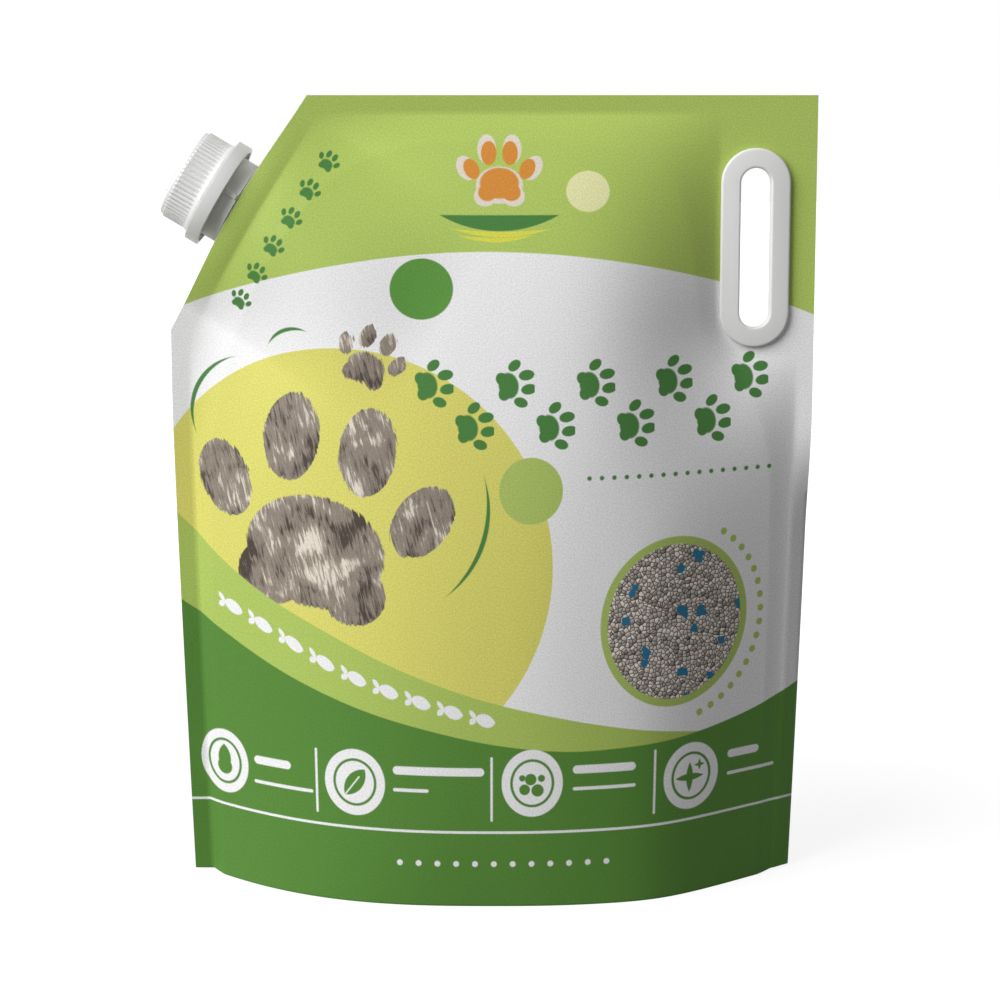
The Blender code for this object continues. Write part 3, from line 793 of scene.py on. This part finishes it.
def fieldBelow(u, v, points):
    above = addNode("Math", [v, boundaryHeight(u, points)], "SUBTRACT")
    return addNode("MapRange", [above, artwork["softEdge"], -artwork["softEdge"]])


def lineMask(v, middle, width):
    away = addNode("Math", [v, middle], "SUBTRACT")
    away = addNode("Math", [away], "ABSOLUTE")
    edge = artwork["lineEdge"]
    return addNode("MapRange", [away, width / 2 + edge, width / 2 - edge])


bigPaw = {
    "prints": (((75, 190), 74, -9), ((101, 268), 20, -24)), "ragged": 5,
    "hairMm": 1.5, "hairStretch": 7, "hairTurn": 14, "patchMm": 22.2222, "patchShare": 0.55,
    "coat": ((0.40, "furDark"), (0.475, "fur"), (0.53, "fur"), (0.60, "cream")),
}


def printFur(colour, place):
    # two large paw prints brushed in short hairs of grey, brown and cream
    hair = (2 * bigPaw["hairMm"], 2 * bigPaw["hairMm"] * bigPaw["hairStretch"])
    hairs = localPlace(place, (0, 0), hair, bigPaw["hairTurn"])
    wisps = {"Scale": 1, "Detail": 4, "Roughness": 0.6, "Distortion": 0.7}
    streak = addNode("TexNoise", {"Vector": hairs, **wisps})
    spread = {"Scale": 1 / bigPaw["patchMm"], "Detail": 2, "Distortion": 0.5}
    patch = addNode("TexNoise", {"Vector": place, **spread})
    tone = addNode("Mix", {0: bigPaw["patchShare"], 2: streak, 3: patch}, data_type="FLOAT")
    coat = addNode("ValToRGB", [tone])
    stops = coat.node.color_ramp.elements
    for spot, ink in bigPaw["coat"]:
        stops.new(spot).color = hexToLinear(inks[ink])
    stops.remove(stops[0])
    stops.remove(stops[-1])
    # the hairs fray the outlines
    fray = bigPaw["ragged"]
    ragged = addNode("CombineXYZ", [streak, streak])
    ragged = addNode("VectorMath", [ragged, (fray, fray, fray), place], "MULTIPLY_ADD")
    masks = [pawMask(ragged, shifted(spot, (fray / 2, fray / 2)), size, turn)
             for spot, size, turn in bigPaw["prints"]]
    return printInk(colour, coat, joined(masks))


# middle, length, width, turn and bow of each accent
strokes = (((22, 247), 44, 2.3, 62, 10), ((147, 184), 60, 2.3, 252, 9), ((60, 277), 21, 1.9, 20, 4))


def printStrokes(colour, place):
    accents = [leafMask(place, *stroke) for stroke in strokes]
    return printInk(colour, "motifGreen", joined(accents))


track = {"start": (122, 246.5), "step": 19.5, "count": 9, "sway": 10, "size": 13, "pawTurn": -80}
slopeTrack = {"start": (32, 288), "step": 16, "count": 6, "turn": 57, "size": 6.6, "pawTurn": -90}
ruleDots = {"start": (204, 211.5), "step": 6.1, "count": 16, "size": 2.2}


def printPaws(colour, place, row):
    paws = alongRow(place, row, pawMask, row["size"], row["pawTurn"])
    return printInk(colour, "motifGreen", paws)


def printTrack(colour, place):
    # a cat's track, left and right of its line in turn
    return printPaws(colour, place, track)


def printSlopeTrack(colour, place):
    # paws in single file beside the sloped corner
    return printPaws(colour, place, slopeTrack)


def dotRow(place, dots):
    return alongRow(place, dots, discMask, (dots["size"], dots["size"]))


def printRule(colour, place):
    return printInk(colour, "motifGreen", dotRow(place, ruleDots))


fishRow = {
    "middle": ((0, 153), (42, 136), (85, 115.8), (128, 101.8), (165, 92.5), (240, 80), (320, 76)),
    "start": (19, 0), "step": 16, "count": 9,
    # place, length, width and turn of the body and of both tail fins
    "parts": (((1.56, 0), 9.88, 6.6, 0), ((-4.68, 1.69), 4.68, 2.64, -50), ((-4.68, -1.69), 4.68, 2.64, 50)),
}


def fishMask(place, middle):
    parts = [leafMask(place, shifted(middle, step), *rest) for step, *rest in fishRow["parts"]]
    return joined(parts)


def printFish(colour, place):
    # small white fish swim along the light green band
    u, v = bothAxes(place)
    height = boundaryHeight(u, fishRow["middle"])
    above = addNode("Math", [v, height], "SUBTRACT")
    band = addNode("CombineXYZ", [u, above])
    return printInk(colour, "white", alongRow(band, fishRow, fishMask))


badge = {
    "middle": (163.5, 356), "size": 20, "rim": 1.2,
    # place, length, width and bow of the ribbon and of two strokes below it
    "sweeps": (((0, -19.5), 58, 7.6, 3.9), ((1, -26), 48, 2.6, 2.8), ((-2, -29.2), 36, 2.1, 2.2)),
}


def printBadge(colour, place):
    # an orange paw with a cream rim over a green ribbon and two lemon strokes
    middle, size = badge["middle"], badge["size"]
    colour = printInk(colour, "cream", pawMask(place, middle, size * badge["rim"]))
    colour = printInk(colour, "orange", pawMask(place, middle, size))
    ribbon, *brushes = [leafMask(place, shifted(middle, step), length, width, 180, bow)
                        for step, length, width, bow in badge["sweeps"]]
    colour = printInk(colour, "motifGreen", ribbon)
    return printInk(colour, "lemon", joined(brushes))


swatch = {
    "middle": (251.2, 139.2), "size": (75.8, 84.2), "inner": (68.8, 76.6),
    "grainMm": 1.95, "joint": (0.04, 0.15), "shades": (0.28, 1), "lightTilt": (-0.14, 0.2),
    "chipMm": 3.4, "flakeMm": 15, "flakeReach": 2.1,
    "dotRing": (91, 99.4), "dotsFrom": -76, "dotsTo": 62, "dotCount": 17, "dotSize": 3.4,
}


def printGranules(colour, place):
    # a round window of litter grains with a few coloured flakes, in a green ring
    cells = {"Vector": place, "Scale": 1 / swatch["grainMm"]}
    grains = addNode("TexVoronoi", cells, voronoi_dimensions="2D").node.outputs
    edges = addNode("TexVoronoi", cells, voronoi_dimensions="2D", feature="DISTANCE_TO_EDGE")
    face = addNode("MapRange", [edges, *swatch["joint"]])
    random = addNode("SeparateColor", [grains["Color"]])
    dark, light = swatch["shades"]
    shade = addNode("MapRange", {"Value": random, "To Min": dark, "To Max": light})
    # each grain is lighter towards the upper left
    away = addNode("VectorMath", [place, grains["Position"]], "SUBTRACT")
    shade = joined([shade, alongAxis(away, swatch["lightTilt"])], "ADD")
    litter = printInk("gritDark", "grit", joined([face, shade], "MULTIPLY"))
    # flakes are the few chips whose middle lies near a seed of a much wider pattern
    cells = {"Vector": place, "Scale": 1 / swatch["chipMm"]}
    chips = addNode("TexVoronoi", cells, voronoi_dimensions="2D").node.outputs
    cells = {"Vector": chips["Position"], "Scale": 1 / swatch["flakeMm"]}
    apart = addNode("TexVoronoi", cells, voronoi_dimensions="2D")
    flakes = addNode("Math", [apart, swatch["flakeReach"] / swatch["flakeMm"]], "LESS_THAN")
    litter = printInk(litter, "flake", flakes)
    colour = printInk(colour, "softGreen", discMask(place, swatch["middle"], swatch["size"]))
    colour = printInk(colour, litter, discMask(place, swatch["middle"], swatch["inner"]))
    return printInk(colour, "softGreen", arcDots(place))


def arcDots(place):
    # a row of dots bent round the window
    around = localPlace(place, swatch["middle"], swatch["dotRing"])
    x, y = bothAxes(around)
    angle = addNode("Math", [y, x], "ARCTAN2")
    length = addNode("VectorMath", [around], "LENGTH")
    radius = sum(swatch["dotRing"]) / 4
    spot = addNode("CombineXYZ", [angle, length])
    spot = addNode("VectorMath", [spot, (radius, radius, 0), (0, -radius, 0)], "MULTIPLY_ADD")
    first, last = (math.radians(swatch[end]) * radius for end in ("dotsFrom", "dotsTo"))
    count = swatch["dotCount"]
    row = {"start": (first, 0), "step": (last - first) / count, "count": count, "size": swatch["dotSize"]}
    return dotRow(spot, row)


# round signs with captions along the foot: middle and size of each disc
icons = {
    "discs": (((19.8, 60.8), (27, 32.8)), ((90.4, 61.1), (31, 33.2)), ((180.1, 63), (30.8, 33.6)),
              ((261.9, 60.2), (29.4, 33.6))),
    "ringShare": 0.72, "ringWidth": 2.7,
    "dropBulb": ((0, -2.6), (8.2, 8.4)), "dropTip": ((0, 1.4), 14.6, 7.2),
    "leaf": (17, 8.6), "leafVein": ((-1.6, -2.1), 13, 0.7), "leafTurn": 52,
    "grains": ((-3.8, -3.2, 5.4), (2.7, -3.6, 6.2), (-0.8, 1.9, 5.8), (4.6, 2.4, 3.6), (-5, 2.6, 3.2)),
    "sparkles": (((-0.8, -0.6), 15, 3.6), ((4.4, 5), 5.6, 1.6)),
}
captions = {
    "bars": (((46.8, 65.2), 20, 4.2), ((52.5, 54), 32, 1.7), ((133, 68.6), 46, 4.2), ((119, 58.8), 18, 1.7),
             ((216.5, 69.2), 32, 4.2), ((216.6, 59.6), 32, 1.7), ((290.4, 67.4), 17.5, 4.2),
             ((295, 57.4), 26.5, 1.7)),
    "dividers": ((70.5, 60), (159.7, 60), (242.5, 60)), "dividerSize": (32.5, 1.2),
}
footDots = {"start": (108, 22), "step": 9.6, "count": 12, "size": 3}


def iconSigns(place, region):
    # a drop, a leaf, a few grains and a sparkle, each in the middle of its own disc
    drop, leaf, grains, sparkle = [spot for spot, _ in icons["discs"]]
    masks = []
    if isIn(region, drop):
        step, size = icons["dropBulb"]
        masks.append(discMask(place, shifted(drop, step), size))
        step, length, width = icons["dropTip"]
        masks.append(leafMask(place, shifted(drop, step), length, width, 90))
        step, length, width = icons["leafVein"]
        vein = barMask(place, shifted(leaf, step), length, width, icons["leafTurn"])
        masks.append(without(leafMask(place, leaf, *icons["leaf"], icons["leafTurn"]), vein))
    else:
        masks += [discMask(place, shifted(grains, (x, y)), (size, size))
                  for x, y, size in icons["grains"]]
        for step, length, width in icons["sparkles"]:
            masks += [leafMask(place, shifted(sparkle, step), length, width, turn) for turn in (0, 90)]
    return joined(masks)


def printIcons(colour, place, region):
    discs, rings = [], []
    for spot, (wide, high) in icons["discs"]:
        if isIn(region, spot):
            discs.append(discMask(place, spot, (wide, high)))
            outer = wide * icons["ringShare"], high * icons["ringShare"]
            inner = [size - icons["ringWidth"] for size in outer]
            rings.append(without(*(discMask(place, spot, size) for size in (outer, inner))))
    bars = [barMask(place, spot, length, width)
            for spot, length, width in captions["bars"] if isIn(region, spot)]
    bars += [barMask(place, spot, *captions["dividerSize"], 90)
             for spot in captions["dividers"] if isIn(region, spot)]
    bars.append(dotRow(place, footDots))
    colour = printInk(colour, "white", joined(discs + bars))
    return printInk(colour, "darkGreen", joined(rings + [iconSigns(place, region)]))


noiseSpan = (0.3, 0.7)  # where nearly all of a noise's values lie


def addGrain(tree, shader, colour, place, scale, look):
    # a fine grain, a little lighter and darker and hardly raised
    speck = addNode("TexNoise", {"Vector": place, "Scale": scale, "Detail": 1})
    shade = addNode("MapRange", [speck, *noiseSpan, *look["shades"]])
    grained = addNode("VectorMath", {0: colour, "Scale": shade}, "SCALE")
    tree.links.new(grained, shader.inputs["Base Color"])
    bump = addNode("Bump", {"Strength": 1, "Distance": look["bumpMm"] * mm, "Height": speck})
    tree.links.new(bump, shader.inputs["Normal"])


laminate = {"roughness": 0.5, "specular": 0.1, "grainMm": 0.75, "shades": (0.89, 1.11), "bumpMm": 0.02}
behindBand = {"Left": (printFur, printStrokes)}
overBand = {
    "Top": (printSlopeTrack, printBadge), "Left": (printFish, printTrack),
    "Right": (printTrack, printRule, printGranules),
}


def filmMaterial(name, region=None):
    # matt laminated polyethylene film, gravure printed: a soft sheen without gloss, and a fine grain
    finish = {"Roughness": laminate["roughness"], "Specular IOR Level": laminate["specular"]}
    mat, tree, shader = newMaterial(name, finish)
    sheet = addNode("UVMap", tree=tree, uv_map="OFBake")
    margin = (-sheetMargin[0], -sheetMargin[1], 0)
    place = addNode("VectorMath", [sheet, (*sheetSize, 0), margin], "MULTIPLY_ADD")
    u, v = bothAxes(place)
    colour = printInk("topGreen", "white", discMask(place, *artwork["topCircle"]))
    if region:
        colour = printInk(colour, "yellow", discMask(place, *artwork["disc"]))
    for printMotif in behindBand.get(region, ()):
        colour = printMotif(colour, place)
    colour = printInk(colour, "bandGreen", fieldBelow(u, v, artwork["bandTop"]))
    colour = printInk(colour, "darkGreen", fieldBelow(u, v, artwork["darkTop"]))
    colour = printInk(colour, "white", lineMask(v, *artwork["line"]))
    if region:
        for spot, size, ink in artwork["dots"]:
            if isIn(region, spot):
                colour = printInk(colour, ink, discMask(place, spot, size))
        for printMotif in overBand.get(region, ()):
            colour = printMotif(colour, place)
        if region.startswith("Foot"):
            colour = printIcons(colour, place, region)
    addGrain(tree, shader, colour, place, 1 / laminate["grainMm"], laminate)
    return mat


def giveRegions(obj, mats):
    # each face takes the material of the region that its middle lies in
    mesh = obj.data
    mesh.materials.clear()
    for mat in mats:
        mesh.materials.append(mat)
    layer = mesh.uv_layers["OFBake"].data
    for face in mesh.polygons:
        share = sum((layer[i].uv for i in face.loop_indices), Vector((0, 0))) / face.loop_total
        spot = np.array(share) * sheetSize - sheetMargin
        face.material_index = next(i for i, region in enumerate(regions) if isIn(region, spot))


def plainMaterial(name, colour, roughness, grainMm, bumpMm):
    # one even colour with a grain just coarse enough to show
    tint = hexToLinear(colour)
    finish = {"Base Color": tint, "Roughness": roughness, "Specular IOR Level": 0.35}
    mat, tree, shader = newMaterial(name, finish)
    place = addNode("TexCoord", tree=tree).node.outputs["Object"]
    look = {"shades": (0.975, 1.02), "bumpMm": bumpMm}
    addGrain(tree, shader, tint[:3], place, 1 / (grainMm * mm), look)
    return mat


# injection-moulded polyethylene of the spout: white and satin, with the spark texture of its mould
polyethylene = plainMaterial("mouldedWhitePolyethylene", "#e4e4e2", 0.45, 0.5, 0.012)
# injection-moulded polypropylene of cap and ring: smoother, with a little more sheen
polypropylene = plainMaterial("mouldedWhitePolypropylene", "#e6e6e4", 0.38, 0.5, 0.001)
# injection-moulded polyethylene of the hand hole ring: a shade greyer
gripPlastic = plainMaterial("mouldedPolyethyleneHandle", "#dededd", 0.42, 0.5, 0.012)
# foamed polyethylene of the sealing disc: dull, with fine cells
foam = plainMaterial("foamedPolyethyleneDisc", "#e8e8e6", 0.6, 0.8, 0.04)
frontPrint = [filmMaterial("gravurePrintedFilm" + region, region) for region in regions]
backPrint = filmMaterial("gravurePrintedFilmBack")
# gravure-printed laminate of the gusset: plain dark green and matt
gussetPrint = plainMaterial("printedFilmGusset", inks["darkGreen"], 0.5, 0.55, 0.02)
print("materials made")

giveRegions(buildFilm("film_front", -1, frontPrint[0]), frontPrint)
buildFilm("film_back", 1, backPrint)
buildGusset(gussetPrint)
print("films built")

settle(buildSpout(polyethylene), "bag", "spout")
settle(buildTamperRing(polypropylene), "bag", "tamper_ring")
settle(buildCap(polypropylene), "cap", "cap")
settle(buildLiner(foam), "liner", "cap_liner")
neckThread = buildThread("neckThread", polyethylene, coreR - thread["sink"], thread["neckTip"], 0)
settle(neckThread, "bag", "spout")
capBore = capR - cap["wall"]
capThread = buildThread("capThread", polypropylene, capBore + thread["sink"], thread["capTip"], math.pi)
settle(capThread, "cap", "cap")
for obj, node in zip(buildGrip(gripPlastic), ("handle_front", "handle_back")):
    settle(obj, "bag", node)
print("fittings built")


# studio: one broad lamp on the left, a dim even sky, and a white floor that keeps a soft shadow
studio = {
    "lampLeft": 56, "lampUp": 30, "lampStrength": 3.62, "lampSpread": 50, "skyLow": 0.228, "skyRise": 0.15,
    "floorSize": 20, "floorNear": 0.85, "floorFade": (0.25, 0.7), "floorBase": "#808080",
    "floorBounce": 0.15,
}
lampData = bpy.data.lights.new("softKey", "SUN")
lampData.energy = studio["lampStrength"]
lampData.angle = math.radians(studio["lampSpread"])
lamp = bpy.data.objects.new("softKey", lampData)
left, up = math.radians(studio["lampLeft"]), math.radians(studio["lampUp"])
toLamp = Vector((-math.sin(left) * math.cos(up), -math.cos(left) * math.cos(up), math.sin(up)))
lamp.rotation_euler = toLamp.to_track_quat("Z", "Y").to_euler()
bpy.context.scene.collection.objects.link(lamp)


def seenDirectly(tree):
    # camera, glossy and transmission rays see the plain white backdrop
    rays = addNode("LightPath", tree=tree).node.outputs
    return joined([rays[kind] for kind in ("Is Camera Ray", "Is Glossy Ray", "Is Transmission Ray")])


white = (1, 1, 1, 1)
world = bpy.data.worlds.new("paleStudio")
bpy.context.scene.world = world
world.use_nodes = True
tree = world.node_tree
direction = addNode("TexCoord", tree=tree).node.outputs["Generated"]
upwards = addNode("SeparateXYZ", [direction]).node.outputs["Z"]
skyLow, skyHigh = studio["skyLow"] - studio["skyRise"], studio["skyLow"] + studio["skyRise"]
sky = addNode("MapRange", [upwards, -1, 1, skyLow, skyHigh])
sky = addNode("Math", [sky, 0], "MAXIMUM")
tree.links.new(sky, tree.nodes["Background"].inputs["Strength"])
tree.nodes["Background"].inputs["Color"].default_value = white
dim = tree.nodes["Background"].outputs[0]
bright = addNode("Background", {"Color": white, "Strength": 1}, tree=tree)
both = addNode("MixShader", [seenDirectly(tree), dim, bright])
tree.links.new(both, tree.nodes["World Output"].inputs[0])

# painted studio floor: matt and grey under the bag's shadow, lit from within so that it looks white
floorPaint = {"Base Color": hexToLinear(studio["floorBase"]), "Roughness": 1, "Specular IOR Level": 0}
floorMat, tree, shader = newMaterial("paleStudioFloor", floorPaint)
spot = addNode("TexCoord", tree=tree).node.outputs["Object"]
away = addNode("VectorMath", [spot], "LENGTH")
level = addNode("MapRange", [away, *studio["floorFade"], studio["floorNear"], 1])
glow = addNode("Emission", {"Color": white, "Strength": level})
bright = addNode("AddShader", [shader.outputs[0], glow])
dark = addNode("BsdfDiffuse", {"Color": (*(studio["floorBounce"],) * 3, 1)}, tree=tree)
both = addNode("MixShader", [seenDirectly(tree), dark, bright])
tree.links.new(both, tree.nodes["Material Output"].inputs[0])
half = studio["floorSize"] / 2
floorCorners = [(-half, -half, 0), (half, -half, 0), (half, half, 0), (-half, half, 0)]
floor = addMesh("studioFloor", floorCorners, [(0, 1, 2, 3)], floorMat)
print("studio lit")

bpy.context.scene.view_settings.view_transform = "Standard"
bpy.context.view_layer.update()
